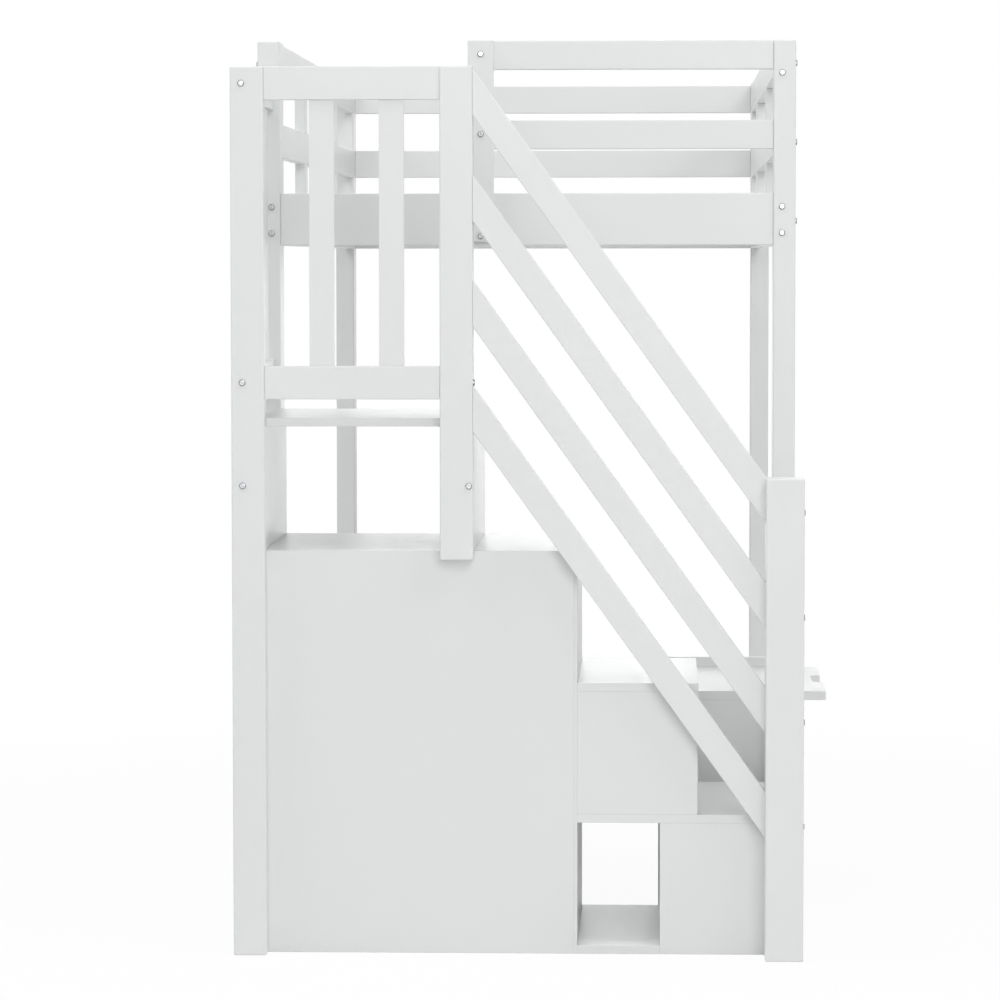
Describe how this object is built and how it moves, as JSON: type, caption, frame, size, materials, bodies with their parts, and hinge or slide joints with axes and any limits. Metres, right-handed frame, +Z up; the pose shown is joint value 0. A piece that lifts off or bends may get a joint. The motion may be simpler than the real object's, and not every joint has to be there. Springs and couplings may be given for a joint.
{
  "type": "loft bed",
  "caption": "White twin loft bed with a storage staircase across its near end, a guarded platform, riser drawers and a low stand with a sliding top.",
  "frame": {"origin": "middle of the bounding box, on the floor, with the sliding top pulled out by 67 mm", "axes": "+Z up; +Y from the staircase end along the bed; +X to the right seen from the staircase end, towards the foot of the stairs"},
  "size_m": [1.1368, 2.5424, 1.738],
  "materials": {
    "painted_timber": "smooth white satin paint on solid pine",
    "painted_board": "smooth white satin paint on board",
    "zinc_steel": "bright zinc-plated steel"
  },
  "bodies": {
    "bed_frame": {"bed_slats": "painted_timber", "bolts_and_nuts": "zinc_steel", "cabinet_bottom": "painted_board", "cabinet_left_side": "painted_board", "cabinet_outer_panel": "painted_board", "cabinet_right_side": "painted_board", "cabinet_shelf": "painted_board", "cubby_divider": "painted_board", "entry_post": "painted_timber", "far_bed_rail": "painted_timber", "far_left_post": "painted_timber", "far_middle_rail": "painted_timber", "far_right_post": "painted_timber", "far_top_rail": "painted_timber", "front_left_post": "painted_timber", "guard_bottom_rail": "painted_timber", "guard_post": "painted_timber", "guard_slats": "painted_timber", "guard_top_rail": "painted_timber", "handrail_1": "painted_timber", "handrail_2": "painted_timber", "handrail_3": "painted_timber", "handrail_4": "painted_timber", "left_bed_rail": "painted_timber", "left_guard_battens": "painted_timber", "left_middle_rail": "painted_timber", "left_top_rail": "painted_timber", "near_bed_rail": "painted_timber", "near_left_post": "painted_timber", "near_middle_rail": "painted_timber", "near_right_post": "painted_timber", "near_top_rail": "painted_timber", "newel_post": "painted_timber", "platform_left_side": "painted_board", "platform_right_side": "painted_board", "platform_tread": "painted_board", "right_bed_rail": "painted_timber", "right_guard_battens": "painted_timber", "right_middle_rail": "painted_timber", "right_top_rail": "painted_timber", "side_guard_bottom_rail": "painted_timber", "side_guard_slats": "painted_timber", "side_guard_top_rail": "painted_timber", "side_stretcher": "painted_timber", "slat_cleats": "painted_timber", "stair_inner_panel": "painted_board", "stand_back": "painted_board", "stand_far_side": "painted_board", "stand_near_side": "painted_board", "step_1_bottom": "painted_board", "step_1_outer_panel": "painted_board", "step_1_tread": "painted_board", "step_2_outer_panel": "painted_board", "step_2_tread": "painted_board", "step_3_tread": "painted_board"},
    "sliding_top_body": {"sliding_top": "painted_board"},
    "step_1_drawer": {"step_1_drawer_front": "painted_board", "step_1_drawer_tray": "painted_board"},
    "step_2_drawer": {"step_2_drawer_front": "painted_board", "step_2_drawer_tray": "painted_board"}
  },
  "joints": [
    {"name": "sliding_top_slide", "type": "slide", "parent": "bed_frame", "child": "sliding_top_body", "axis": [1, 0, 0], "range_m": [-0.067, 0.08]},
    {"name": "step_1_drawer_slide", "type": "slide", "parent": "bed_frame", "child": "step_1_drawer", "axis": [1, 0, 0], "range_m": [0, 0.15]},
    {"name": "step_2_drawer_slide", "type": "slide", "parent": "bed_frame", "child": "step_2_drawer", "axis": [1, 0, 0], "range_m": [0, 0.15]}
  ]
}
